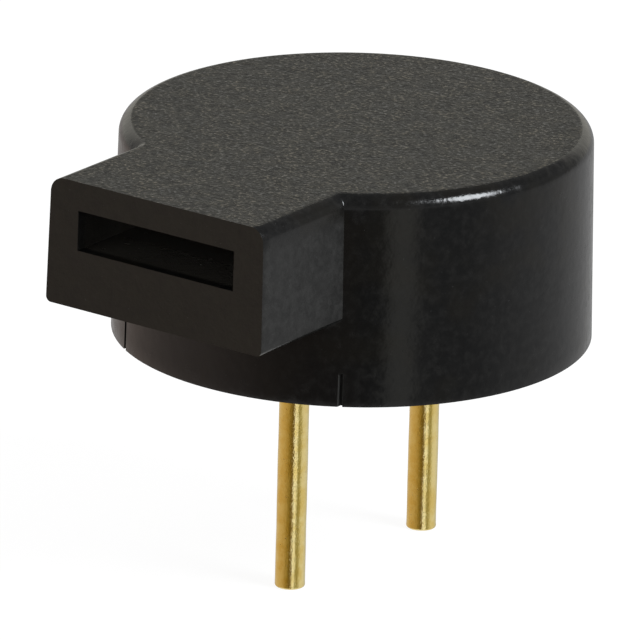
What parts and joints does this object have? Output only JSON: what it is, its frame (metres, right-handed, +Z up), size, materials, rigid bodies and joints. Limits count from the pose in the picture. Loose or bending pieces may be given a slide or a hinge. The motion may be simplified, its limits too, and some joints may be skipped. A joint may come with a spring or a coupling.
{
  "type": "magnetic buzzer",
  "caption": "Round black side-port magnetic buzzer with a slotted rectangular sound duct and straight gold-plated terminal pins.",
  "frame": {"origin": "centre of the case rim, on the plane of the circuit board that the rim rests on", "axes": "+Z up through the lid, -Y along the sound duct to its mouth, +X to the right seen from the mouth; the pins run down along -Z"},
  "size_m": [0.012, 0.0143, 0.0116],
  "materials": {
    "case_plastic": "black moulded plastic: spark-grained lid, smooth satin wall",
    "ring_plastic": "moulded, smooth",
    "diaphragm_alloy": "rolled nickel-iron foil",
    "plain_steel": "blanked soft iron",
    "plated_steel": "nickel plated",
    "ferrite": "dark sintered ferrite",
    "bobbin_plastic": "natural moulded nylon",
    "enamelled_copper": "enamelled copper wire",
    "board_laminate": "paper-phenolic laminate",
    "gold_plating": "gold plated wire with drawing lines",
    "solder": "bright tin solder",
    "resin": "cast black epoxy"
  },
  "bodies": {
    "root": {"case": "case_plastic", "support_ring": "ring_plastic", "diaphragm": "diaphragm_alloy", "armature_disc": "plain_steel", "yoke_plate": "plated_steel", "core_pole": "plain_steel", "ring_magnet": "ferrite", "coil_bobbin": "bobbin_plastic", "coil_winding": "enamelled_copper", "base_board": "board_laminate", "terminal_pin_front": "gold_plating", "coil_lead_front": "enamelled_copper", "solder_joint_front": "solder", "terminal_pin_rear": "gold_plating", "coil_lead_rear": "enamelled_copper", "solder_joint_rear": "solder", "resin_seal": "resin"}
  },
  "joints": []
}
